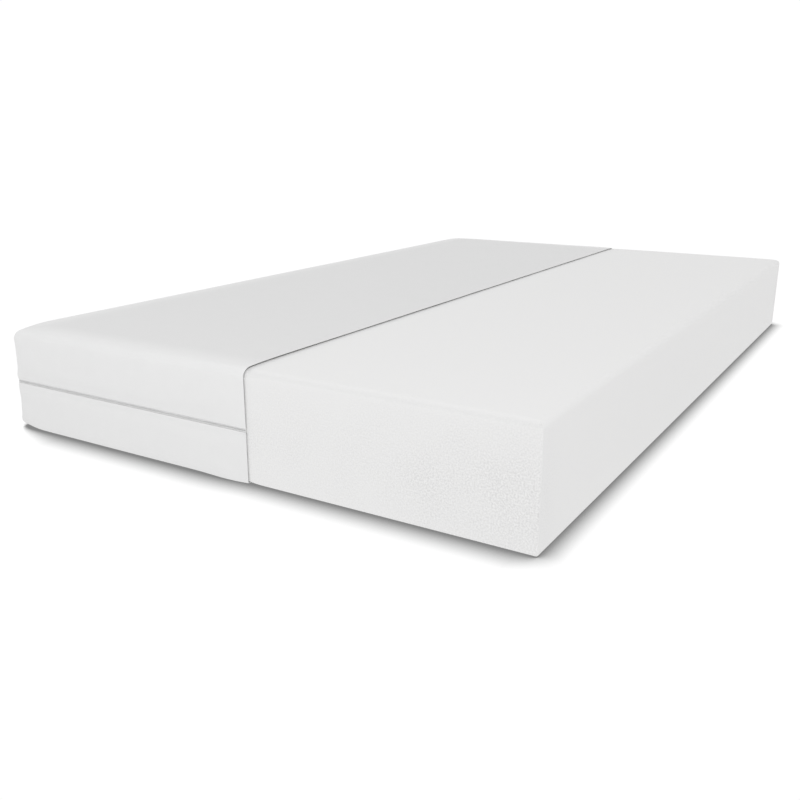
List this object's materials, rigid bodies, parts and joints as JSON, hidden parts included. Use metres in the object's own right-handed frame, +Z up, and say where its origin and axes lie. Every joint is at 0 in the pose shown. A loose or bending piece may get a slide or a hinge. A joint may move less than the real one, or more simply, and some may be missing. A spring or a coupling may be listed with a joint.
{
  "type": "foam mattress",
  "caption": "Foam mattress: a soft-edged foam block in a smooth removable cover with a zip round its sides, the cover cut away lengthwise so that part of the foam is bare.",
  "frame": {"origin": "centre of the underside of the whole object's bounding box", "axes": "+X across the bed from the covered long side to the bare one, +Y along the bed away from the viewer, +Z up through the sleeping surface"},
  "size_m": [1.2082, 2.0076, 0.22],
  "materials": {
    "foam": "white open-cell polyurethane foam, dead matt, fine cut cells",
    "cover": "smooth white knitted cloth, matt",
    "zip_tape": "light grey woven tape, matt",
    "zip_coil": "light grey moulded coil, satin",
    "zip_metal": "plated die casting, satin",
    "care_label": "blank satin ribbon"
  },
  "bodies": {
    "core": {"foam_core": "foam"},
    "cover": {"cover_upper": "cover", "cover_lower": "cover", "zip_tape_upper": "zip_tape", "zip_tape_lower": "zip_tape", "zip_coil_upper": "zip_coil", "zip_coil_lower": "zip_coil", "zip_coil_start_upper": "zip_coil", "zip_coil_start_lower": "zip_coil", "zip_top_stop_upper": "zip_metal", "zip_top_stop_lower": "zip_metal", "zip_bottom_stop": "zip_metal", "care_label": "care_label"},
    "slider": {"zip_slider": "zip_metal"},
    "pull": {"zip_pull": "zip_metal"}
  },
  "joints": [
    {"name": "cover_slides_off", "type": "slide", "parent": "core", "child": "cover", "axis": [-1, 0, 0], "range_m": [0, 0.7]},
    {"name": "zip_slider_runs", "type": "slide", "parent": "cover", "child": "slider", "axis": [0, -1, 0], "range_m": [0, 1.85]},
    {"name": "zip_pull_swings", "type": "hinge", "parent": "slider", "child": "pull", "pos_m": [-0.6024, 0.89, 0.102], "axis": [0, 0, -1], "range_deg": [0, 180]}
  ]
}
